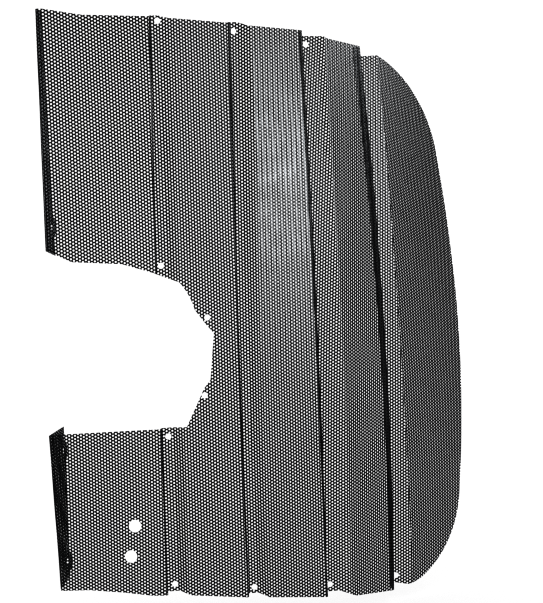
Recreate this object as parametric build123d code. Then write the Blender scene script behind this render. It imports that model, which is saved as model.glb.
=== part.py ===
from build123d import *
import os
from math import cos, hypot, radians, sin

# Perforated cover screen: one sheet-metal face, about 551 mm tall overall, of five bays that
# step back one behind the other from left to right. Millimetres, +Z up, front face towards -Y.
# The parts are laid out from the left bend line at mid height, then moved so that the origin
# is the centre of the first ledge's second screw hole, counted from the top.

# Sheet
SHEET = 0.6                   # sheet thickness
SEAM = 0.1                    # open seam between a bay's step wall and the next bay's ledge

# Cross-section at mid height, walked from the left bend line to the right edge.
# Headings are degrees from +X, positive towards the back (+Y).
PANEL_WIDTHS = (97.8, 54.9, 58.4, 57.0, 106.0)
PANEL_HEADINGS = (-10.5, 2.5, 11.0, 26.5, 32.0)
LAST_PANEL_CURL = 5.0         # degrees the last panel turns back across its width
STEP_DEPTHS = (7.0, 8.0, 9.0, 17.0)
LEDGE_WIDTHS = (10.0, 9.0, 20.2, 20.8)
RAMP_WIDTHS = (10.5, 12.5, 4.5)
RAMP_HEADINGS = (-33.5, -35.0, -28.5)

# Growth of the first four panels and of the last ledge away from mid height: the terms of
# width += a * h + b * h * h, where h is the height over FLARE_HEIGHT
FLARE_HEIGHT = 250.0
PANEL_FLARES = ((1.1, 1.4), (0.1, 0.7), (-1.7, -2.6), (-1.0, -5.9))
LAST_LEDGE_FLARE = (2.4, 3.0)

# Whole-sheet form: a slow twist about an upright axis and a bow towards the front
TWIST_PER_MM = 0.0245         # degrees per mm of height
TWIST_AXIS = (204.0, 15.0)    # X, Y
BOW_RADIUS = 7300.0
STATIONS = (-310.0, -155.0, 0.0, 155.0, 310.0)

# Top and bottom edges of each bay in front view, as (X, Z)
TOP_EDGES = (
    ((-60.0, 258.5), (8.0, 258.5), (42.0, 252.5), (130.0, 248.5)),
    ((60.0, 251.5), (110.0, 251.5), (119.0, 248.5), (220.0, 241.5)),
    ((140.0, 246.5), (184.0, 246.5), (193.0, 242.5), (290.0, 237.5)),
    ((220.0, 236.0), (269.0, 235.5), (273.0, 233.5), (340.0, 225.5)),
)
BOTTOM_EDGES = (
    ((-60.0, -258.5), (25.0, -259.5), (55.0, -263.0), (80.0, -267.0), (130.0, -268.5)),
    ((60.0, -265.5), (106.0, -265.5), (115.0, -269.5), (220.0, -284.0)),
    ((140.0, -275.0), (178.0, -275.0), (187.0, -278.5), (290.0, -292.0)),
    ((220.0, -283.0), (257.0, -283.0), (274.0, -289.5), (340.0, -294.5)),
)

# Right-hand outline of the last bay in front view
LAST_TOP_LEFT = (290.0, 220.0)
LAST_TOP_ARC = ((337.0, 222.0), (387.0, 187.0), (412.5, 134.0))
LAST_SIDE_ARC = ((412.5, 134.0), (425.0, -37.0), (409.0, -210.0))
LAST_BOTTOM_ARC = ((409.0, -210.0), (388.0, -260.5), (350.0, -289.0))
LAST_BOTTOM = ((336.0, -292.5), (290.0, -283.0))

# Cut-out in the left side, in front view
CUT_TOP = ((-60.0, 50.5), (2.0, 50.5), (23.0, 39.5), (66.0, 35.5), (95.0, 25.5), (116.0, 16.5))
CUT_BEND = (124.0, 4.5)       # on the arc from the top run to the side run
CUT_SIDE = ((129.0, -9.0), (139.0, -23.0), (145.5, -31.0), (140.5, -73.0), (134.5, -80.0))
CUT_BOTTOM = ((117.0, -114.0), (-60.0, -114.0))

# Side flange, folded back along the left bend line
FLANGE_LEAN = 25.0            # degrees the flange leans in from square
FLANGE_REACH = 44.0           # width before trimming
FLANGE_START = 1.5            # depth behind the bend line where face and flange are trimmed apart
UPPER_FLANGE = ((258.5, 20.0), (45.5, 27.0))        # (Z, width) at its two ends
LOWER_FLANGE = ((-112.0, 36.0), (-251.5, 22.0))
UPPER_FLANGE_BEND_END = 50.5
LOWER_FLANGE_BEND_ENDS = (-115.0, -258.5)
UPPER_BEND = (0.0, 0.0)       # bend line: offset at mid height, and offset per mm of height
LOWER_BEND = (-7.0, -0.0233)
EAR_RADIUS = 10.0
EAR_INSET = 4.0               # ear and hole centre, inside the flange's free edge
UPPER_EARS = (71.5,)
LOWER_EARS = (-133.5, -236.5)

# Holes
SCREW_RADIUS = 2.9            # coarse clearance for an M5 screw
GROMMET_RADIUS = 6.0
LEDGE_SCREWS = {              # ledge number: (distance from the step wall, Z) of each screw hole
    1: ((7.0, 247.0), (4.5, 32.0), (6.0, -122.0), (7.0, -259.0)),
    2: ((4.5, 238.5), (6.0, -269.5)),
    3: ((6.0, 228.0), (3.5, -276.5)),
    4: ((5.5, -283.0),),
}
CUT_SIDE_SCREWS = ((140.0, -16.5), (134.5, -86.5))
GROMMET_HOLES = ((67.0, -201.5), (62.5, -229.5))

FAR = 400.0                   # beyond the sheet in any direction


def place(x, y, z):
    """Move a point of the mid-height cross-section to height z on the twisted, bowed sheet."""
    turn = radians(TWIST_PER_MM * z)
    dx = x - TWIST_AXIS[0]
    dy = y - TWIST_AXIS[1]
    bow = z * z / (2 * BOW_RADIUS)
    return (
        TWIST_AXIS[0] + dx * cos(turn) - dy * sin(turn),
        TWIST_AXIS[1] + dx * sin(turn) + dy * cos(turn) + bow,
        z,
    )


def ahead(point, distance, heading):
    """The point a distance away along a heading in the cross-section."""
    angle = radians(heading)
    return (point[0] + distance * cos(angle), point[1] + distance * sin(angle))


def flare(terms, z):
    """Growth of a width at height z."""
    h = z / FLARE_HEIGHT
    return terms[0] * h + terms[1] * h * h


def bay_lines(z):
    """Front line of each bay's cross-section at height z, left to right, before the twist."""
    lines = []
    line = [(0.0, 0.0)]
    for number, depth in enumerate(STEP_DEPTHS):
        width = PANEL_WIDTHS[number] + flare(PANEL_FLARES[number], z)
        ridge = ahead(line[-1], width, PANEL_HEADINGS[number])
        foot = (ridge[0], ridge[1] + depth)
        lines.append(line + [ridge, (foot[0], foot[1] - SEAM)])
        ledge = LEDGE_WIDTHS[number]
        if number == len(RAMP_WIDTHS):
            ledge += flare(LAST_LEDGE_FLARE, z)
        ledge_end = (foot[0] + ledge, foot[1])
        line = [(foot[0] - SHEET, foot[1]), ledge_end]
        if number < len(RAMP_WIDTHS):
            line.append(ahead(ledge_end, RAMP_WIDTHS[number], RAMP_HEADINGS[number]))
    lines.append(line)
    return lines


def left_normal(a, b):
    length = hypot(b[0] - a[0], b[1] - a[1])
    return ((a[1] - b[1]) / length, (b[0] - a[0]) / length)


def back_line(points):
    """The line one sheet thickness behind a front line, with mitred corners."""
    normals = [left_normal(a, b) for a, b in zip(points, points[1:])]
    back = []
    for number, point in enumerate(points):
        n1 = normals[max(number - 1, 0)]
        n2 = normals[min(number, len(normals) - 1)]
        scale = SHEET / (1 + n1[0] * n2[0] + n1[1] * n2[1])
        back.append((point[0] + (n1[0] + n2[0]) * scale, point[1] + (n1[1] + n2[1]) * scale))
    return back


def loft_sheet(section_at):
    """Loft a sheet from section_at(z), its cross-section as a list of straight or curved runs."""
    wires = []
    for z in STATIONS:
        edges = []
        for run in section_at(z):
            points = [place(x, y, z) for x, y in run]
            if len(points) == 2:
                edges.append(Edge.make_line(*points))
            else:
                edges.append(Edge.make_three_point_arc(*points))
        wires.append(Wire(edges))
    return Solid.make_loft(wires)


def straight_runs(points):
    return [(a, b) for a, b in zip(points, points[1:])]


def folded_sheet(line_at):
    """A folded sheet that follows line_at(z), a front line of straight runs."""
    def section_at(z):
        line = line_at(z)
        return straight_runs(line + back_line(line)[::-1] + [line[0]])
    return loft_sheet(section_at)


def front_prism(outline):
    """A front-view outline face, extruded right through the sheet."""
    return extrude(Plane.XZ.offset(-FAR) * outline, amount=2 * FAR)


def side_prism(points):
    """A side-view (Y, Z) outline, extruded right through the sheet."""
    face = make_face(Polyline(*points, close=True))
    return extrude(Plane.YZ.offset(-FAR) * face, amount=2 * FAR)


def bay_outline(number):
    points = TOP_EDGES[number] + BOTTOM_EDGES[number][::-1]
    return make_face(Polyline(*points, close=True))


def cut_out():
    """Cut-out in the left side, with a rounded run down its upper right."""
    line = Polyline(*CUT_TOP)
    line += ThreePointArc(CUT_TOP[-1], CUT_BEND, CUT_SIDE[0])
    line += Polyline(*CUT_SIDE, *CUT_BOTTOM, CUT_TOP[0])
    return front_prism(make_face(line))


def front_hole(x, z, radius):
    hole = Cylinder(radius, 2 * FAR, rotation=(90, 0, 0))
    return Pos(x, 0, z) * hole


def ledge_point(number, distance, z):
    """The point of a ledge's front surface a distance from its step wall, at height z."""
    start = bay_lines(z)[number][0]
    return place(start[0] + SHEET + distance, start[1], z)


def origin_offset():
    """Centre of the first ledge's second screw hole."""
    distance, z = LEDGE_SCREWS[1][1]
    return Vector(*ledge_point(1, distance, z))


def drill_ledge(solid, number):
    for distance, z in LEDGE_SCREWS[number]:
        x, _, _ = ledge_point(number, distance, z)
        solid -= front_hole(x, z, SCREW_RADIUS)
    return solid


def bend_point(bend, z):
    """Where the left bend line crosses height z, for a bend given as (offset, offset per mm)."""
    return ahead((0.0, 0.0), bend[0] + bend[1] * z, PANEL_HEADINGS[0])


def flange_point(bend, width, z):
    """A point on the flange's outer face, a width away from the bend line."""
    x, y = ahead(bend_point(bend, z), width, 90 - FLANGE_LEAN)
    return place(x, y, z)


def ear_point(bend, ends, z):
    """Centre of an ear and its hole at height z, given the flange's two (Z, width) ends."""
    (z1, width1), (z2, width2) = ends
    width = width1 + (width2 - width1) * (z - z1) / (z2 - z1)
    return flange_point(bend, width - EAR_INSET, z)


def trim_point(bend, z):
    """A point just behind the bend line, where face and flange are trimmed apart."""
    x, y = bend_point(bend, z)
    return place(x, y + FLANGE_START, z)


def flange_region(bend, ends, bend_ends, ears):
    """Side-view region that a flange fills, with its rounded ears."""
    edge = [flange_point(bend, width, z) for z, width in ends]
    inner = [trim_point(bend, z) for z in bend_ends]
    points = [(inner[0][1], inner[0][2])]
    points += [(y, z) for _, y, z in edge]
    points += [(inner[1][1], inner[1][2])]
    region = side_prism(points)
    for z in ears:
        _, y, _ = ear_point(bend, ends, z)
        region += Pos(0, y, z) * Cylinder(EAR_RADIUS, 2 * FAR, rotation=(0, 90, 0))
    return region


def flange_normal(z):
    """Outward direction square to the flange at height z."""
    turn = radians(TWIST_PER_MM * z - FLANGE_LEAN)
    return Vector(-cos(turn), -sin(turn), 0)


def drill_flange(solid, bend, ends, ears):
    """Screw holes through the ears, all square to the flange at the ears' mean height."""
    direction = flange_normal(sum(ears) / len(ears))
    for z in ears:
        centre = Vector(*ear_point(bend, ends, z))
        plane = Plane(origin=centre - direction * EAR_RADIUS, z_dir=direction)
        solid -= extrude(plane * Circle(SCREW_RADIUS), amount=2 * EAR_RADIUS)
    return solid


def bay_1_sheet(bend):
    def line_at(z):
        corner = bend_point(bend, z)
        tip = ahead(corner, FLANGE_REACH, 90 - FLANGE_LEAN)
        return [tip, corner] + bay_lines(z)[0][1:]
    return folded_sheet(line_at)


def face_region(bend, top, bottom):
    """Side-view region in front of the flange between two heights."""
    edge = [trim_point(bend, z) for z in (top, (top + bottom) / 2, bottom)]
    points = [(-FAR, top)] + [(y, z) for _, y, z in edge] + [(-FAR, bottom)]
    return side_prism(points)


def bay_1_half(bend, face_end, flange, bend_ends, ears):
    """The part of the first bay between mid height and face_end, with its side flange."""
    sheet = bay_1_sheet(bend)
    heights = sorted((0.0, face_end), reverse=True)
    face = sheet & front_prism(bay_outline(0)) & face_region(bend, *heights)
    side = drill_flange(sheet & flange_region(bend, flange, bend_ends, ears), bend, flange, ears)
    return face - cut_out() + side


def bay_1_upper():
    bend_ends = (UPPER_FLANGE[0][0], UPPER_FLANGE_BEND_END)
    return bay_1_half(UPPER_BEND, STATIONS[-1], UPPER_FLANGE, bend_ends, UPPER_EARS)


def bay_1_lower():
    solid = bay_1_half(LOWER_BEND, STATIONS[0], LOWER_FLANGE, LOWER_FLANGE_BEND_ENDS, LOWER_EARS)
    for x, z in GROMMET_HOLES:
        solid -= front_hole(x, z, GROMMET_RADIUS)
    return solid


def middle_bay(number):
    """Bay 2, 3 or 4: ledge, ramp, panel and step wall folded from one sheet."""
    sheet = folded_sheet(lambda z: bay_lines(z)[number])
    return drill_ledge(sheet & front_prism(bay_outline(number)), number)


def bay_2():
    solid = middle_bay(1) - cut_out()
    for x, z in CUT_SIDE_SCREWS:
        solid -= front_hole(x, z, SCREW_RADIUS)
    return solid


def bay_5():
    """Last bay: ledge and a gently curled panel with a rounded free edge."""
    def section_at(z):
        left, fold = bay_lines(z)[4]
        half = PANEL_WIDTHS[4] / 2
        middle = ahead(fold, half, PANEL_HEADINGS[4] + LAST_PANEL_CURL / 4)
        end = ahead(middle, half, PANEL_HEADINGS[4] + LAST_PANEL_CURL * 3 / 4)
        back = back_line([left, fold, middle, end])
        return [
            (left, fold),
            (fold, middle, end),
            (end, back[3]),
            (back[3], back[2], back[1]),
            (back[1], back[0]),
            (back[0], left),
        ]
    outline = Polyline(LAST_BOTTOM[1], LAST_TOP_LEFT, LAST_TOP_ARC[0])
    for arc in (LAST_TOP_ARC, LAST_SIDE_ARC, LAST_BOTTOM_ARC):
        outline += ThreePointArc(*arc)
    outline += Polyline(LAST_BOTTOM_ARC[-1], *LAST_BOTTOM)
    sheet = loft_sheet(section_at) & front_prism(make_face(outline))
    return drill_ledge(sheet, 4)


PIECES = {
    "bay_1_upper": bay_1_upper,
    "bay_1_lower": bay_1_lower,
    "bay_2": bay_2,
    "bay_3": lambda: middle_bay(2),
    "bay_4": lambda: middle_bay(3),
    "bay_5": bay_5,
}

ORIGIN = Location(-origin_offset())

os.makedirs("parts", exist_ok=True)
for name, make in PIECES.items():
    piece = ORIGIN * make()
    piece.label = name
    export_step(piece, f"parts/{name}.step")
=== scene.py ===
from math import cos, pi, radians, sin, tan

import bpy
import numpy as np
from mathutils import Matrix, Vector
from mathutils.geometry import delaunay_2d_cdt


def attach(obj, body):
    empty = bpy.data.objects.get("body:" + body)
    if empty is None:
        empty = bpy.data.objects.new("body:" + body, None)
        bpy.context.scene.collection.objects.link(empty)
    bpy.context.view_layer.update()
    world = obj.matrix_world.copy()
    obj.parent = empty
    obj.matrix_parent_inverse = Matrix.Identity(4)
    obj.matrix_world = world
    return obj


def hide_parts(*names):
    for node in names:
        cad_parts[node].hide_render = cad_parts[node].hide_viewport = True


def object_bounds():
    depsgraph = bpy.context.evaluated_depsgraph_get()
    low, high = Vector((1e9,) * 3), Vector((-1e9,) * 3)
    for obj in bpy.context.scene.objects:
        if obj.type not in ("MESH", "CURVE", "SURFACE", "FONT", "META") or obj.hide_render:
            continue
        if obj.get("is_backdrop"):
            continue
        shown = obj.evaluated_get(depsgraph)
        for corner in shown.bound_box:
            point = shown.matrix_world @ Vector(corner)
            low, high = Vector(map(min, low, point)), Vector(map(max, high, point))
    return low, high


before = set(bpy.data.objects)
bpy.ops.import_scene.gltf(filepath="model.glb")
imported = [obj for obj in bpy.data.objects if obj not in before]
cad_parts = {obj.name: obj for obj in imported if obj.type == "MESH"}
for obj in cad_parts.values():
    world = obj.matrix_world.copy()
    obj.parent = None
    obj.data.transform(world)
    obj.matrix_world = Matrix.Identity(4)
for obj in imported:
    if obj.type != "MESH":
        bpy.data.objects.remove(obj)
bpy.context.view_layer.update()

# ---------------------------------------------------------------------------------------------
# Sheet form, millimetres. The layout frame has its origin at the left bend line at mid height.
SHEET = 0.6
SEAM = 0.1                    # open seam between a bay's step wall and the next bay's ledge
PANEL_WIDTHS = (97.8, 54.9, 58.4, 57.0, 106.0)
PANEL_HEADINGS = (-10.5, 2.5, 11.0, 26.5, 32.0)
LAST_PANEL_CURL = 5.0
STEP_DEPTHS = (7.0, 8.0, 9.0, 17.0)
LEDGE_WIDTHS = (10.0, 9.0, 20.2, 20.8)
RAMP_WIDTHS = (10.5, 12.5, 4.5)
RAMP_HEADINGS = (-33.5, -35.0, -28.5)
# Growth of the first four panels and the last ledge: a * h + b * h * h, h = height / FLARE_HEIGHT
FLARE_HEIGHT = 250.0
PANEL_FLARES = ((1.1, 1.4), (0.1, 0.7), (-1.7, -2.6), (-1.0, -5.9))
LAST_LEDGE_FLARE = (2.4, 3.0)
TWIST_PER_MM = 0.0245
TWIST_AXIS = (204.0, 15.0)
BOW_RADIUS = 7300.0
INNER_BEND = 1.8              # inside radius of every fold

TOP_EDGES = (
    ((-60.0, 258.5), (8.0, 258.5), (42.0, 252.5), (130.0, 248.5)),
    ((60.0, 251.5), (110.0, 251.5), (119.0, 248.5), (220.0, 241.5)),
    ((140.0, 246.5), (184.0, 246.5), (193.0, 242.5), (290.0, 237.5)),
    ((220.0, 236.0), (269.0, 235.5), (273.0, 233.5), (340.0, 225.5)),
)
BOTTOM_EDGES = (
    ((-60.0, -258.5), (25.0, -259.5), (55.0, -263.0), (80.0, -267.0), (130.0, -268.5)),
    ((60.0, -265.5), (106.0, -265.5), (115.0, -269.5), (220.0, -284.0)),
    ((140.0, -275.0), (178.0, -275.0), (187.0, -278.5), (290.0, -292.0)),
    ((220.0, -283.0), (257.0, -283.0), (274.0, -289.5), (340.0, -294.5)),
)
# Outline of the last bay: its left end at the top, three arcs, and its left end at the bottom
LAST_TOP_LEFT = (290.0, 220.0)
LAST_TOP_ARC = ((337.0, 222.0), (387.0, 187.0), (412.5, 134.0))
LAST_SIDE_ARC = ((412.5, 134.0), (425.0, -37.0), (409.0, -210.0))
LAST_BOTTOM_ARC = ((409.0, -210.0), (388.0, -260.5), (350.0, -289.0))
LAST_BOTTOM = ((336.0, -292.5), (290.0, -283.0))
CUT_TOP = ((-60.0, 50.5), (2.0, 50.5), (23.0, 39.5), (66.0, 35.5), (95.0, 25.5), (116.0, 16.5))
CUT_BEND = (124.0, 4.5)
CUT_SIDE = ((129.0, -9.0), (139.0, -23.0), (145.5, -31.0), (140.5, -73.0), (134.5, -80.0))
CUT_BOTTOM = ((117.0, -114.0), (-60.0, -114.0))

# Side flanges: (Z, width) at the top and bottom ends
FLANGE_LEAN = 25.0            # degrees from straight back
UPPER_FLANGE = ((258.5, 20.0), (45.5, 27.0))
LOWER_FLANGE = ((-112.0, 36.0), (-251.5, 22.0))
UPPER_FLANGE_BEND_END = 50.5
LOWER_FLANGE_BEND_ENDS = (-115.0, -258.5)
FLANGE_REACH = 44.0           # length of the blank past the bend, more than any flange needs
UPPER_BEND = (0.0, 0.0)       # bend line: offset at mid height, and offset per mm of height
LOWER_BEND = (-7.0, -0.0233)
EAR_RADIUS = 10.0
EAR_INSET = 4.0               # ear centre in from the flange's free edge
UPPER_EARS = (71.5,)
LOWER_EARS = (-133.5, -236.5)

SCREW_RADIUS = 2.9
GROMMET_RADIUS = 6.0
LEDGE_SCREWS = {              # ledge number: (distance from the step wall, Z) of each screw hole
    1: ((7.0, 247.0), (4.5, 32.0), (6.0, -122.0), (7.0, -259.0)),
    2: ((4.5, 238.5), (6.0, -269.5)),
    3: ((6.0, 228.0), (3.5, -276.5)),
    4: ((5.5, -283.0),),
}
CUT_SIDE_SCREWS = ((140.0, -16.5), (134.5, -86.5))
GROMMET_HOLES = ((67.0, -201.5), (62.5, -229.5))
BAY_2_LEFT = 90.0             # an X left of bay 2, where its share of the cut-out begins

# Perforation: round holes on a 60 degree staggered lattice
HOLE_RADIUS = 1.0
PITCH = 3.0
COLUMN = PITCH * cos(radians(30))
HOLE_SIDES = 8
HOLE_MARGIN = 2.0             # holes are looked for this far past a rectangle
FLARE_MARGIN = 8.0            # extra run searched for holes, because panels grow with height
LATTICE_HALF_HEIGHT = 340     # the lattice is worked out for heights up to this

# Mesh fineness
SCRAP_TRIANGLES = 60          # a loose piece with no more triangles than this is left out
SCORE_POINTS = 40             # points down each score line along a fold
EDGE_STEPS = 80               # steps down a flange's free edge
EAR_POINTS = 25
ARC_POINTS = 24
OUTLINE_ARC_POINTS = 60       # for the last bay's long arcs
CIRCLE_POINTS = 28
# Lean of the hole columns from the fold lines, degrees at mid height and degrees per mm of height
LEANS = {
    "bay_1": (-0.05, -0.0048),
    "bay_2": (-0.2, -0.0028),
    "bay_3": (0.9, -0.0005),
    "bay_4": (4.4, 0.0113),
    "ledge_5": (4.3, 0.0085),
    "panel_5": (12.6, 0.029),
}


def place(x, y, z):
    """Carry a point of the mid-height section to height z on the twisted, bowed sheet."""
    turn = np.radians(TWIST_PER_MM * z)
    dx, dy = x - TWIST_AXIS[0], y - TWIST_AXIS[1]
    return (
        TWIST_AXIS[0] + dx * np.cos(turn) - dy * np.sin(turn),
        TWIST_AXIS[1] + dx * np.sin(turn) + dy * np.cos(turn) + z * z / (2 * BOW_RADIUS),
        z,
    )


def ahead(point, distance, heading):
    """The point a distance away along a heading in degrees."""
    angle = radians(heading)
    return (point[0] + distance * cos(angle), point[1] + distance * sin(angle))


def flare(terms, z):
    """Growth of a width at height z."""
    h = z / FLARE_HEIGHT
    return terms[0] * h + terms[1] * h * h


def bay_shift(number, z):
    """How far a bay's start moves at height z, because the panels before it grow."""
    x, y = 0.0, 0.0
    for heading, terms in zip(PANEL_HEADINGS[:number], PANEL_FLARES):
        x = x + flare(terms, z) * cos(radians(heading))
        y = y + flare(terms, z) * sin(radians(heading))
    return x, y


def bay_lines():
    """Front line of each bay's cross-section at mid height."""
    lines, line = [], [(0.0, 0.0)]
    for number, depth in enumerate(STEP_DEPTHS):
        ridge = ahead(line[-1], PANEL_WIDTHS[number], PANEL_HEADINGS[number])
        foot = (ridge[0], ridge[1] + depth)
        lines.append(line + [ridge, (foot[0], foot[1] - SEAM)])
        ledge_end = (foot[0] + LEDGE_WIDTHS[number], foot[1])
        line = [(foot[0] - SHEET, foot[1]), ledge_end]
        if number < len(RAMP_WIDTHS):
            line.append(ahead(ledge_end, RAMP_WIDTHS[number], RAMP_HEADINGS[number]))
    lines.append(line)
    return lines


LINES = bay_lines()


def ledge_centre(number, distance, z):
    """Front point of a ledge at a distance from its step wall."""
    x, y = LINES[number][0]
    dx, dy = bay_shift(number, z)
    return place(x + SHEET + distance + dx, y + dy, z)


ORIGIN = np.array(ledge_centre(1, *LEDGE_SCREWS[1][1]))


class Section:
    """The front line of a folded strip in the mid-height section, measured by its run u.

    Folds are rounded. The sheet's thickness lies to the left of the walk. One straight stretch
    grows with height: its start moves by start_grow(z) and its end by end_grow(z)."""

    def __init__(self, number, points, stretch, end_grow, start_grow=lambda z: 0.0 * z,
                 curl=0.0, start=0.0):
        self.number, self.start_grow, self.end_grow = number, start_grow, end_grow
        self.parts = []           # (u0, u1, x, y, heading, curvature)
        self.folds = []
        heading = [np.arctan2(b[1] - a[1], b[0] - a[0]) for a, b in zip(points, points[1:])]
        cut = [0.0] * len(points)
        radius = [0.0] * len(points)
        for i in range(1, len(points) - 1):
            bend = heading[i] - heading[i - 1]
            radius[i] = INNER_BEND + (SHEET if bend > 0 else 0.0)
            cut[i] = radius[i] * tan(abs(bend) / 2)
        u = start
        for i, h in enumerate(heading):
            (x0, y0), (x1, y1) = points[i], points[i + 1]
            length = np.hypot(x1 - x0, y1 - y0) - cut[i] - cut[i + 1]
            last = i == len(heading) - 1
            k = radians(curl) / length if last and curl else 0.0
            x, y = x0 + cut[i] * cos(h), y0 + cut[i] * sin(h)
            self.parts.append((u, u + length, x, y, h, k))
            u += length
            if not last:
                bend = heading[i + 1] - h
                arc = abs(bend) * radius[i + 1]
                x, y = x1 - cut[i + 1] * cos(h), y1 - cut[i + 1] * sin(h)
                self.parts.append((u, u + arc, x, y, h, bend / arc))
                self.folds.append((u, u + arc))
                u += arc
        self.start, self.end = start, u
        self.stretch = self.parts[2 * stretch]

    def growth(self, u, z):
        u0, u1 = self.stretch[:2]
        share = np.clip((u - u0) / (u1 - u0), 0, 1)
        return self.start_grow(z) * (1 - share) + self.end_grow(z) * share

    def flat_run(self, u, z):
        """Run on the flat sheet, where the hole lattice is regular."""
        run = u + self.growth(u, z)
        return run - self.end_grow(z) if self.number == 4 else run

    def run_of(self, flat, z):
        """The run u that lies at a run on the flat sheet."""
        u = flat
        for _ in range(8):
            u = u + flat - self.flat_run(u, z)
        return u

    def at(self, u):
        """Front point and the direction into the sheet's thickness."""
        u = np.asarray(u, float)
        x, y, h = np.zeros_like(u), np.zeros_like(u), np.zeros_like(u)
        for i, (u0, u1, x0, y0, h0, k) in enumerate(self.parts):
            here = u >= u0 if i else np.ones_like(u, bool)
            s = u[here] - u0
            h[here] = h0 + k * s
            if k:
                x[here] = x0 + (np.sin(h0 + k * s) - sin(h0)) / k
                y[here] = y0 - (np.cos(h0 + k * s) - cos(h0)) / k
            else:
                x[here] = x0 + s * cos(h0)
                y[here] = y0 + s * sin(h0)
        return x, y, -np.sin(h), np.cos(h)

    def front(self, u, z):
        """Front points of the formed sheet."""
        u, z = np.asarray(u, float), np.asarray(z, float)
        x, y, _, _ = self.at(u)
        dx, dy = bay_shift(self.number, z)
        heading = self.stretch[4]
        grown = self.growth(u, z)
        return place(x + dx + grown * cos(heading), y + dy + grown * sin(heading), z)

    def find(self, x, z):
        """The run u whose front point at height z has the given X. X must rise with u."""
        x, z = np.asarray(x, float), np.asarray(z, float)
        low, high = np.full_like(x, self.start - 60), np.full_like(x, self.end + 60)
        for _ in range(40):
            middle = (low + high) / 2
            short = self.front(middle, z)[0] < x
            low, high = np.where(short, middle, low), np.where(short, high, middle)
        return (low + high) / 2


def dense(points, step=1.0):
    """The same line with extra points, no further apart than a step."""
    out = []
    for (x0, y0), (x1, y1) in zip(points, points[1:]):
        n = max(1, int(np.ceil(np.hypot(x1 - x0, y1 - y0) / step)))
        out += [(x0 + (x1 - x0) * i / n, y0 + (y1 - y0) * i / n) for i in range(n)]
    return out + [points[-1]]


def arc_points(a, b, c, count=ARC_POINTS):
    """Points on the arc from a through b to c."""
    a, b, c = (np.array(p, float) for p in (a, b, c))
    m = np.array([b - a, c - a]) * 2
    centre = np.linalg.solve(m, [b @ b - a @ a, c @ c - a @ a])
    t0, t1, t2 = (np.arctan2(*(p - centre)[::-1]) for p in (a, b, c))
    turn = (t2 - t0) % (2 * pi)
    if (t1 - t0) % (2 * pi) > turn:
        turn -= 2 * pi
    r = np.hypot(*(a - centre))
    angles = [t0 + turn * i / count for i in range(count + 1)]
    return [(centre[0] + r * cos(t), centre[1] + r * sin(t)) for t in angles]


def height_on(section, u, edge):
    """Height where an edge given as (X, Z) points, X rising, crosses each run u."""
    xs, zs = [p[0] for p in edge], [p[1] for p in edge]
    z = np.interp(section.front(u, np.zeros_like(u))[0], xs, zs)
    for _ in range(12):
        z = np.interp(section.front(u, z)[0], xs, zs)
    return z


def circle(u, z, radius):
    angles = [2 * pi * i / CIRCLE_POINTS for i in range(CIRCLE_POINTS)]
    return np.array([(u + radius * cos(t), z + radius * sin(t)) for t in angles])


def inside(points, polygon):
    """Which points lie inside a closed polygon."""
    x, y = points[:, 0], points[:, 1]
    result = np.zeros(len(points), bool)
    px, py = polygon[:, 0], polygon[:, 1]
    qx, qy = np.roll(px, -1), np.roll(py, -1)
    for x0, y0, x1, y1 in zip(px, py, qx, qy):
        if y0 == y1:
            continue
        crosses = (y0 > y) != (y1 > y)
        result ^= crosses & (x < (x1 - x0) * (y - y0) / (y1 - y0) + x0)
    return result


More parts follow.
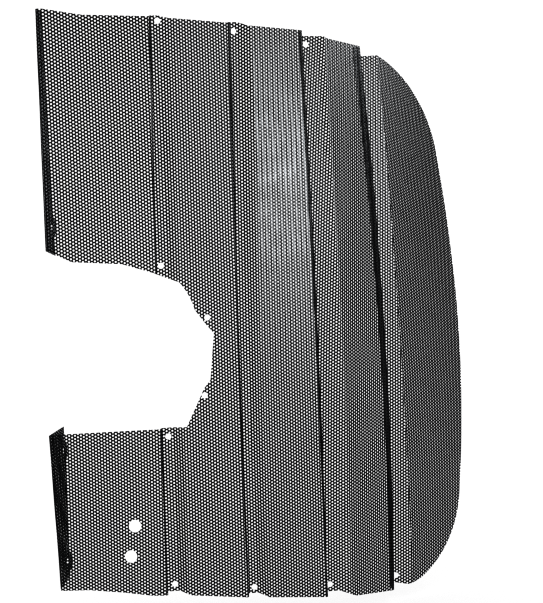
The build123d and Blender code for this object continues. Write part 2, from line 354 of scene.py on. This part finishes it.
class Lattice:
    """Hole lattice of the flat sheet: (a, b) are its own axes, b along the hole columns."""

    def __init__(self, lean, shift):
        self.lean0, self.lean1, self.shift = radians(lean[0]), radians(lean[1]), shift
        self.z = np.linspace(-LATTICE_HALF_HEIGHT, LATTICE_HALF_HEIGHT,
                             2 * LATTICE_HALF_HEIGHT + 1)
        turn = self.lean0 + self.lean1 * self.z
        step = self.z[1] - self.z[0]
        self.a = np.concatenate([[0], np.cumsum((np.sin(turn[1:]) + np.sin(turn[:-1])) / 2 * step)])
        self.b = np.concatenate([[0], np.cumsum((np.cos(turn[1:]) + np.cos(turn[:-1])) / 2 * step)])
        self.a -= np.interp(0, self.z, self.a)
        self.b -= np.interp(0, self.z, self.b)

    def flat(self, u, z):
        """Lattice coordinates (a, b) of points on the flat sheet."""
        turn = self.lean0 + self.lean1 * z
        s = u - self.shift
        return (s * np.cos(turn) - np.interp(z, self.z, self.a),
                s * np.sin(turn) + np.interp(z, self.z, self.b))

    def sheet(self, a, b):
        """Points on the flat sheet with lattice coordinates (a, b)."""
        u, z = a + self.shift, b.copy()
        for _ in range(14):
            fa, fb = self.flat(u, z)
            turn = self.lean0 + self.lean1 * z
            da, db = a - fa, b - fb
            u = u + da * np.cos(turn) + db * np.sin(turn)
            z = z - da * np.sin(turn) + db * np.cos(turn)
        return u, z

    def holes(self, u0, u1, z0, z1):
        """Hole centres that may touch a rectangle, and their (column, row) numbers."""
        cu, cz = np.meshgrid([u0, (u0 + u1) / 2, u1], np.linspace(z0, z1, 9))
        a, b = self.flat(cu.ravel(), cz.ravel())
        k = np.arange(np.floor(a.min() / COLUMN) - 2, np.ceil(a.max() / COLUMN) + 3)
        j = np.arange(np.floor(b.min() / PITCH) - 2, np.ceil(b.max() / PITCH) + 3)
        k, j = (g.ravel() for g in np.meshgrid(k, j))
        u, z = self.sheet(k * COLUMN, (j + (k % 2) / 2) * PITCH)
        near = ((u > u0 - HOLE_MARGIN) & (u < u1 + HOLE_MARGIN)
                & (z > z0 - HOLE_MARGIN) & (z < z1 + HOLE_MARGIN))
        return u[near], z[near], k[near].astype(int), j[near].astype(int)

    def numbers(self, u, z):
        """Candidate (column, row) numbers of the holes round each point."""
        a, b = self.flat(u, z)
        out = []
        for dk in (-1, 0, 1):
            k = np.round(a / COLUMN).astype(int) + dk
            j = b / PITCH - (k % 2) / 2
            for dj in (np.floor(j), np.ceil(j)):
                out.append((k, dj.astype(int)))
        return out


HOLE_ANGLES = np.array([2 * pi * (i + 0.5) / HOLE_SIDES for i in range(HOLE_SIDES)])
APOTHEM = HOLE_RADIUS * cos(pi / HOLE_SIDES)


def in_hole(du, dz):
    """Whether an offset from a hole's centre lies inside its polygon."""
    reach = np.full(du.shape, -1e9)
    for angle in (2 * pi * i / HOLE_SIDES for i in range(HOLE_SIDES)):
        reach = np.maximum(reach, du * cos(angle) + dz * sin(angle))
    return reach < APOTHEM


def bend_steps(section):
    """Runs where the sheet is scored so that its folds come out round."""
    runs = []
    for u0, u1 in section.folds:
        count = 4 if u1 - u0 > 1.5 else 2
        runs += [u0 + (u1 - u0) * i / count for i in range(count + 1)]
    return runs


def perforated(section, lattice, outline, openings):
    """Triangulate a sheet in (u, z): outline minus openings minus the hole lattice."""
    outline = np.array(outline, float)
    openings = [np.array(o, float) for o in openings]
    u0, z0 = outline.min(0)
    u1, z1 = outline.max(0)
    hu, hz, hk, hj = lattice.holes(u0 - FLARE_MARGIN, u1 + FLARE_MARGIN, z0, z1)
    ring = [(0.0, 0.0)] + [(HOLE_RADIUS * cos(t), HOLE_RADIUS * sin(t)) for t in HOLE_ANGLES]
    touches = np.zeros(len(hu), bool)
    clear = np.ones(len(hu), bool)
    for du, dz in ring:
        points = np.stack([section.run_of(hu + du, hz + dz), hz + dz], 1)
        touches |= inside(points, outline)
        blocked = np.zeros(len(hu), bool)
        for o in openings:
            blocked |= inside(points, o)
        clear &= blocked
    keep = touches & ~clear
    hu, hz, hk, hj = hu[keep], hz[keep], hk[keep], hj[keep]

    verts, edges = [], []

    def loop(points, closed=True):
        start = len(verts)
        verts.extend(map(tuple, points))
        n = len(points)
        edges.extend((start + i, start + (i + 1) % n) for i in range(n if closed else n - 1))

    loop(outline)
    for o in openings:
        loop(o)
    for run in bend_steps(section):
        if u0 < run < u1:
            loop([(run, z) for z in np.linspace(z0 - 1, z1 + 1, SCORE_POINTS)], closed=False)
    shape = np.stack([HOLE_RADIUS * np.cos(HOLE_ANGLES), HOLE_RADIUS * np.sin(HOLE_ANGLES)], 1)
    corners = shape + np.stack([hu, hz], 1)[:, None]
    corners[..., 0] = section.run_of(corners[..., 0], corners[..., 1])
    for hole in corners:
        loop(hole)
    found, _, faces, _, _, _ = delaunay_2d_cdt(
        [Vector(v) for v in verts], edges, [], 0, 1e-5)
    points = np.array([tuple(v) for v in found])
    tri = np.array([f for f in faces if len(f) == 3])
    centre = points[tri].mean(1)

    good = inside(centre, outline)
    for o in openings:
        good &= ~inside(centre, o)
    table = np.full((hk.max() - hk.min() + 5, hj.max() - hj.min() + 5), -1)
    k_base, j_base = hk.min() - 2, hj.min() - 2
    table[hk - k_base, hj - j_base] = np.arange(len(hk))
    flat = section.flat_run(centre[:, 0], centre[:, 1])
    for k, j in lattice.numbers(flat, centre[:, 1]):
        k = np.clip(k - k_base, 0, table.shape[0] - 1)
        j = np.clip(j - j_base, 0, table.shape[1] - 1)
        index = table[k, j]
        hit = index >= 0
        inner = in_hole(flat - hu[index], centre[:, 1] - hz[index])
        good &= ~(hit & inner)
    tri = tri[good]
    used, tri = np.unique(tri, return_inverse=True)
    points = points[used]
    return points, drop_crumbs(points, tri.reshape(-1, 3))


def drop_crumbs(points, tri):
    """Leave out scraps that the sheared edges cut loose."""
    parent = np.arange(len(points))
    while True:
        low = parent[tri].min(1)
        new = parent.copy()
        for i in range(3):
            np.minimum.at(new, tri[:, i], low)
        new = new[new]
        if (new == parent).all():
            break
        parent = new
    labels, counts = np.unique(parent[tri[:, 0]], return_counts=True)
    keep = np.isin(parent[tri[:, 0]], labels[counts > SCRAP_TRIANGLES])
    return tri[keep]


def sheet_mesh(name, section, points, tri):
    """Give the triangulated sheet its form and thickness and make the Blender mesh."""
    a, b, c = points[tri[:, 0]], points[tri[:, 1]], points[tri[:, 2]]
    area = (b[:, 0] - a[:, 0]) * (c[:, 1] - a[:, 1]) - (c[:, 0] - a[:, 0]) * (b[:, 1] - a[:, 1])
    tri = np.where(area[:, None] < 0, tri[:, ::-1], tri)
    used, tri = np.unique(tri, return_inverse=True)
    tri = tri.reshape(-1, 3)
    points = points[used]
    u, z = points[:, 0], points[:, 1]
    _, _, nx, ny = section.at(u)
    front = np.stack(section.front(u, z), 1)
    turn = np.radians(TWIST_PER_MM * z)
    normal = np.stack([nx * np.cos(turn) - ny * np.sin(turn),
                       nx * np.sin(turn) + ny * np.cos(turn),
                       -z / BOW_RADIUS * np.ones_like(z)], 1)
    normal /= np.linalg.norm(normal, axis=1)[:, None]
    front += normal * ripple(front)[:, None]
    back = front + normal * SHEET
    n = len(points)

    directed = np.concatenate([tri[:, [0, 1]], tri[:, [1, 2]], tri[:, [2, 0]]])
    forward = directed[:, 0].astype(np.int64) * n + directed[:, 1]
    reverse = directed[:, 1].astype(np.int64) * n + directed[:, 0]
    rim = directed[~np.isin(forward, reverse)]
    walls = np.stack([rim[:, 0], rim[:, 0] + n, rim[:, 1] + n, rim[:, 1]], 1)

    co = (np.concatenate([front, back]) - ORIGIN) / 1000
    loops = np.concatenate([tri.ravel(), (tri[:, ::-1] + n).ravel(), walls.ravel()])
    sizes = np.concatenate([np.full(2 * len(tri), 3), np.full(len(walls), 4)])
    starts = np.concatenate([[0], np.cumsum(sizes)[:-1]])
    mesh = bpy.data.meshes.new(name)
    mesh.vertices.add(len(co))
    mesh.vertices.foreach_set("co", co.astype(np.float32).ravel())
    mesh.loops.add(len(loops))
    mesh.loops.foreach_set("vertex_index", loops.astype(np.int32))
    mesh.polygons.add(len(sizes))
    mesh.polygons.foreach_set("loop_start", starts.astype(np.int32))
    mesh.update(calc_edges=True)
    mesh.validate()
    smooth = np.zeros(len(mesh.polygons), bool)
    smooth[:2 * len(tri)] = True
    mesh.polygons.foreach_set("use_smooth", smooth)
    custom = np.zeros((len(loops), 3))
    flat = 3 * len(tri)
    custom[:flat] = -normal[tri.ravel()]
    custom[flat:2 * flat] = normal[tri[:, ::-1].ravel()]
    mesh.normals_split_custom_set(custom.tolist())
    mesh.update()
    obj = bpy.data.objects.new(name, mesh)
    bpy.context.scene.collection.objects.link(obj)
    return obj


def ripple(p):
    """Slight unevenness of hand-formed sheet, millimetres."""
    x, z = p[:, 0], p[:, 2]
    return (0.16 * np.sin(x / 23 + z / 61 + 0.7) + 0.12 * np.sin(z / 31 - x / 47 + 2.1)
            + 0.07 * np.sin(z / 13 + x / 17))


# ---------------------------------------------------------------------------------------------
def ledge_openings(section, number):
    """Screw holes along a ledge."""
    out = []
    for distance, z in LEDGE_SCREWS[number]:
        x = ledge_centre(number, distance, z)[0]
        out.append(circle(float(section.find(x, z)), z, SCREW_RADIUS))
    return out


def strip_outline(section, u0, u1, top, bottom):
    """Outline between two runs, under a top edge and over a bottom edge."""
    u = np.unique(np.concatenate([np.arange(u0, u1, 1.0), [u0, u1], [
        r for r in bend_steps(section) if u0 < r < u1]]))
    zt, zb = height_on(section, u, top), height_on(section, u, bottom)
    return list(zip(u, zt)) + list(zip(u[::-1], zb[::-1]))


def cut_edge(top):
    """Edge of the cut-out, above or below its deepest corner, X rising to that corner."""
    if not top:
        return [CUT_BOTTOM[1], CUT_BOTTOM[0], *CUT_SIDE[:1:-1]]
    return [*CUT_TOP, *arc_points(CUT_TOP[-1], CUT_BEND, CUT_SIDE[0])[1:], *CUT_SIDE[1:3]]


def flange_edge(ends, ears):
    """Free edge of a side flange, as (distance from the bend, Z) from the top down, and the
    distance of each ear's screw hole."""
    (z1, w1), (z2, w2) = ends
    slope = (w2 - w1) / (z2 - z1)
    heights = [z1 + (z2 - z1) * i / EDGE_STEPS for i in range(EDGE_STEPS + 1)]
    edge = [(w1 + slope * (z - z1), z) for z in heights]
    reach = EAR_RADIUS / cos(radians(FLANGE_LEAN))
    centres = []
    for ear in ears:
        centre = w1 + slope * (ear - z1) - EAR_INSET
        centres.append(centre)
        arc = [(centre + reach * sin(t), ear + EAR_RADIUS * cos(t))
               for t in np.linspace(0, pi, EAR_POINTS)]
        arc = [p for p in arc if p[0] >= w1 + slope * (p[1] - z1)]
        top, bottom = arc[0][1], arc[-1][1]
        edge = [p for p in edge if p[1] > top] + arc + [p for p in edge if p[1] < bottom]
    return edge, centres


def build_bay_1(half):
    """Half of the first bay: its face joined to its side flange across the bend."""
    offset, slope = UPPER_BEND if half == "upper" else LOWER_BEND
    corner = ahead((0.0, 0.0), offset, PANEL_HEADINGS[0])
    tip = ahead(corner, FLANGE_REACH, 90 - FLANGE_LEAN)
    section = Section(0, [tip, corner] + LINES[0][1:], 1, lambda z: flare(PANEL_FLARES[0], z),
                      start_grow=lambda z: slope * z, start=offset - FLANGE_REACH)
    if half == "upper":
        ends, ears = UPPER_FLANGE, UPPER_EARS
        top, bottom = TOP_EDGES[0], cut_edge(True)
        bend_ends = (UPPER_FLANGE[0][0], UPPER_FLANGE_BEND_END)
        holes = []
    else:
        ends, ears = LOWER_FLANGE, LOWER_EARS
        top, bottom = cut_edge(False), BOTTOM_EDGES[0]
        bend_ends = LOWER_FLANGE_BEND_ENDS
        holes = [circle(float(section.find(x, z)), z, GROMMET_RADIUS) for x, z in GROMMET_HOLES]
    bend = sum(section.folds[0]) / 2
    edge, ear_centres = flange_edge(ends, ears)
    flange = [(bend - w, z) for w, z in edge]
    holes += [circle(bend - w, z, SCREW_RADIUS) for w, z in zip(ear_centres, ears)]
    face = strip_outline(section, bend + 0.5, section.end, top, bottom)
    outline = face + [(bend, bend_ends[1])] + flange[::-1] + [(bend, bend_ends[0])]
    points, tri = perforated(section, Lattice(LEANS["bay_1"], 0.0), outline, holes)
    return [sheet_mesh(f"perforated_bay_1_{half}", section, points, tri)]


def split_pieces(name, section, points, tri, at):
    """Two pieces of one strip, parted along a fold."""
    centre = points[tri].mean(1)[:, 0]
    return [sheet_mesh(f"perforated_{name}_groove", section, points, tri[centre < at]),
            sheet_mesh(f"perforated_{name}_panel", section, points, tri[centre >= at])]


def build_middle(number):
    """Bay 2, 3 or 4: ledge, ramp, panel and step wall."""
    section = Section(number, LINES[number], 2, lambda z: flare(PANEL_FLARES[number], z))
    outline = strip_outline(section, 0.0, section.end, TOP_EDGES[number], BOTTOM_EDGES[number])
    openings = ledge_openings(section, number)
    if number == 1:
        top = [p for p in dense(cut_edge(True)) if p[0] > BAY_2_LEFT]
        bottom = [p for p in dense(cut_edge(False)) if p[0] > BAY_2_LEFT]
        ring = np.array(top + bottom[::-1])
        openings.append(np.stack([section.find(ring[:, 0], ring[:, 1]), ring[:, 1]], 1))
        openings += [circle(float(section.find(x, z)), z, SCREW_RADIUS) for x, z in CUT_SIDE_SCREWS]
    name = f"bay_{number + 1}"
    points, tri = perforated(section, Lattice(LEANS[name], 0.0), outline, openings)
    return split_pieces(name, section, points, tri, sum(section.folds[1]) / 2)


def build_bay_5():
    """The last ledge and the curled panel with the rounded edge."""
    left, fold = LINES[4]
    end = ahead(fold, PANEL_WIDTHS[4], PANEL_HEADINGS[4])
    section = Section(4, [left, fold, end], 0, lambda z: flare(LAST_LEDGE_FLARE, z),
                      curl=LAST_PANEL_CURL)
    ring = [LAST_BOTTOM[1], LAST_TOP_LEFT]
    for arc in (LAST_TOP_ARC, LAST_SIDE_ARC, LAST_BOTTOM_ARC):
        ring += arc_points(*arc, count=OUTLINE_ARC_POINTS)
    ring += list(LAST_BOTTOM)
    ring = np.array(dense(ring)[:-1])
    outline = np.stack([section.find(ring[:, 0], ring[:, 1]), ring[:, 1]], 1)
    outline[:, 0] = np.clip(outline[:, 0], 0, None)
    split = sum(section.folds[0]) / 2
    objects = []
    end_run = outline[:, 0].max() + 1
    screws = ledge_openings(section, 4)
    for lean, part, u0, u1, openings in (("ledge_5", "groove", 0.0, split, screws),
                                         ("panel_5", "panel", split, end_run, [])):
        clipped = clip_runs(outline, u0, u1)
        points, tri = perforated(section, Lattice(LEANS[lean], split), clipped, openings)
        objects.append(sheet_mesh(f"perforated_bay_5_{part}", section, points, tri))
    return objects


def clip_runs(polygon, u0, u1):
    """Clip a polygon to a band of runs."""
    def clip(points, value, side):
        out = []
        for (xa, za), (xb, zb) in zip(points, np.roll(points, -1, 0)):
            a_in, b_in = side * (xa - value) >= 0, side * (xb - value) >= 0
            if a_in:
                out.append((xa, za))
            if a_in != b_in:
                t = (value - xa) / (xb - xa)
                out.append((value, za + t * (zb - za)))
        return np.array(out)
    return clip(clip(polygon, u0, 1), u1, -1)


# ---------------------------------------------------------------------------------------------
BAND_SPACING = 0.0051         # upright bands of stronger and weaker sheen, metres apart
FLOOR_GLOW = 0.85             # share of the floor's light that is its own
WAVE_SCALE = 2 * pi / 20      # a Wave Texture repeats every 2 pi / 20 at scale 1


def paint():
    """Black semi-gloss powder coat, slightly clouded, with a fine grain and a banded sheen."""
    material = bpy.data.materials.new("black_paint")
    material.use_nodes = True
    nodes, links = material.node_tree.nodes, material.node_tree.links
    shader = nodes["Principled BSDF"]
    coords = nodes.new("ShaderNodeTexCoord")

    def noise(scale, detail, rough=0.5):
        node = nodes.new("ShaderNodeTexNoise")
        node.inputs["Scale"].default_value = scale
        node.inputs["Detail"].default_value = detail
        node.inputs["Roughness"].default_value = rough
        links.new(coords.outputs["Object"], node.inputs["Vector"])
        return node

    def ramp(source, low, high, a, b):
        node = nodes.new("ShaderNodeMapRange")
        node.inputs["From Min"].default_value = low
        node.inputs["From Max"].default_value = high
        node.inputs["To Min"].default_value = a
        node.inputs["To Max"].default_value = b
        links.new(source, node.inputs["Value"])
        return node.outputs["Result"]

    cloud = noise(14, 4)
    colour = nodes.new("ShaderNodeMix")
    colour.data_type = "RGBA"
    colour.inputs["A"].default_value = (0.006, 0.006, 0.007, 1)
    colour.inputs["B"].default_value = (0.013, 0.013, 0.0145, 1)
    links.new(ramp(cloud.outputs["Fac"], 0.35, 0.65, 0, 1), colour.inputs["Factor"])
    links.new(colour.outputs["Result"], shader.inputs["Base Color"])
    links.new(ramp(noise(60, 5).outputs["Fac"], 0.3, 0.7, 0.33, 0.43), shader.inputs["Roughness"])
    bump = nodes.new("ShaderNodeBump")
    bump.inputs["Strength"].default_value = 0.12
    bump.inputs["Distance"].default_value = 0.0003
    links.new(noise(1400, 3).outputs["Fac"], bump.inputs["Height"])
    bands = nodes.new("ShaderNodeTexWave")
    bands.inputs["Scale"].default_value = WAVE_SCALE / BAND_SPACING
    bands.inputs["Distortion"].default_value = 1.5
    bands.inputs["Detail"].default_value = 1
    bands.inputs["Detail Scale"].default_value = 0.3
    links.new(coords.outputs["Object"], bands.inputs["Vector"])
    sheen_level = ramp(bands.outputs["Fac"], 0.1, 0.9, 0.15, 1.0)
    links.new(sheen_level, shader.inputs["Specular IOR Level"])
    links.new(bump.outputs["Normal"], shader.inputs["Normal"])
    return material


def glowing_floor(level):
    """White floor that mostly glows by itself, so shadows on it stay faint."""
    material = bpy.data.materials.new("pale_floor")
    material.use_nodes = True
    nodes, links = material.node_tree.nodes, material.node_tree.links
    surface = nodes["Principled BSDF"]
    surface.inputs["Base Color"].default_value = (0.99, 0.99, 0.99, 1)
    surface.inputs["Roughness"].default_value = 0.9
    surface.inputs["Specular IOR Level"].default_value = 0.0
    glow = nodes.new("ShaderNodeEmission")
    glow.inputs["Strength"].default_value = level
    blend = nodes.new("ShaderNodeMixShader")
    blend.inputs["Fac"].default_value = FLOOR_GLOW
    links.new(surface.outputs["BSDF"], blend.inputs[1])
    links.new(glow.outputs["Emission"], blend.inputs[2])
    links.new(blend.outputs["Shader"], nodes["Material Output"].inputs["Surface"])
    return material


# ---------------------------------------------------------------------------------------------
black = paint()
build = {
    "bay_1_upper": lambda: build_bay_1("upper"),
    "bay_1_lower": lambda: build_bay_1("lower"),
    "bay_2": lambda: build_middle(1),
    "bay_3": lambda: build_middle(2),
    "bay_4": lambda: build_middle(3),
    "bay_5": build_bay_5,
}
lit = bpy.data.collections.new("lit_by_softboxes")
for node, make in build.items():
    for piece in make():
        lit.objects.link(piece)
        piece.data.materials.append(black)
        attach(piece, "root")
        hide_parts(node)

# ---------------------------------------------------------------------------------------------
# Stage
ROOM_LIGHT = 1.03             # seen directly, and lighting the floor
SHEEN_LIGHT = 0.1             # what the paint mirrors away from the softboxes
FLOOR_SIZE = 12
FLOOR_GAP = 0.012             # the object hangs this far above the floor
SOFTBOX_COLOUR = (0.94, 0.97, 1.0)
low, high = (Vector(v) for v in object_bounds())
middle = (low + high) / 2
world = bpy.data.worlds.new("studio")
bpy.context.scene.world = world
world.use_nodes = True
nodes, links = world.node_tree.nodes, world.node_tree.links
room = nodes["Background"]
room.inputs["Color"].default_value = (1, 1, 1, 1)
room.inputs["Strength"].default_value = ROOM_LIGHT
sheen = nodes.new("ShaderNodeBackground")
sheen.inputs["Color"].default_value = (1, 1, 1, 1)
sheen.inputs["Strength"].default_value = SHEEN_LIGHT
path = nodes.new("ShaderNodeLightPath")
choose = nodes.new("ShaderNodeMixShader")
links.new(path.outputs["Is Glossy Ray"], choose.inputs["Fac"])
links.new(room.outputs["Background"], choose.inputs[1])
links.new(sheen.outputs["Background"], choose.inputs[2])
links.new(choose.outputs["Shader"], nodes["World Output"].inputs["Surface"])


def plane(name, size, location):
    """A level square that is part of the stage."""
    mesh = bpy.data.meshes.new(name)
    h = size / 2
    mesh.from_pydata([(-h, -h, 0), (h, -h, 0), (h, h, 0), (-h, h, 0)], [], [(0, 1, 2, 3)])
    obj = bpy.data.objects.new(name, mesh)
    obj.location = location
    bpy.context.scene.collection.objects.link(obj)
    obj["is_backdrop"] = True
    return obj


floor = plane("floor", FLOOR_SIZE, (middle.x, middle.y, low.z - FLOOR_GAP))
floor.data.materials.append(glowing_floor(ROOM_LIGHT))
floor.visible_glossy = False


def softbox(name, azimuth, rise, distance, width, height, power):
    """A soft light on the object only: azimuth from the front towards +X, and rise, in degrees."""
    light = bpy.data.lights.new(name, "AREA")
    light.shape = "RECTANGLE"
    light.size, light.size_y, light.energy = width, height, power
    light.color = SOFTBOX_COLOUR
    obj = bpy.data.objects.new(name, light)
    a, e = radians(azimuth), radians(rise)
    offset = Vector((sin(a) * cos(e), -cos(a) * cos(e), sin(e))) * distance
    obj.location = middle + offset
    obj.rotation_euler = (-offset).to_track_quat("-Z", "Y").to_euler()
    obj.visible_camera = False
    obj.light_linking.receiver_collection = lit
    bpy.context.scene.collection.objects.link(obj)


softbox("box_front_right", 42, 7, 1.6, 0.14, 0.3, 12)
softbox("box_right", 88, 24, 1.6, 0.4, 0.5, 8)
softbox("box_left", -75, 12, 1.6, 0.3, 0.6, 6)
softbox("box_back_right", 148, 6, 1.6, 0.5, 0.7, 4)

camera = bpy.data.objects.new("camera", bpy.data.cameras.new("camera"))
bpy.context.scene.collection.objects.link(camera)
bpy.context.scene.camera = camera
# Camera, in the layout frame: its place in metres, and the directions of its picture
EYE = Vector((-0.113239, -1.240815, 0.068028)) - Vector(ORIGIN / 1000)
RIGHT = Vector((0.9669352, -0.2501067, -0.0498282))
DOWN = Vector((-0.0627834, -0.0440855, -0.9970530))
FORWARD = Vector((0.2471730, 0.9672141, -0.0583304))
FOCAL_WIDTHS = 1400 / 543     # focal length over picture width
rotation = Matrix((RIGHT, -DOWN, -FORWARD)).transposed()
camera.matrix_world = Matrix.Translation(EYE) @ rotation.to_4x4()
camera.data.sensor_fit = "HORIZONTAL"
camera.data.sensor_width = 36
camera.data.lens = 36 * FOCAL_WIDTHS
camera.data.clip_start = 0.05
# Contrast of the picture. Denoising is off because it wipes out the fine perforation.
bpy.context.scene.view_settings.view_transform = "Standard"
bpy.context.scene.view_settings.gamma = 0.57
bpy.context.scene.cycles.filter_width = 1.25
bpy.context.scene.cycles.use_denoising = False
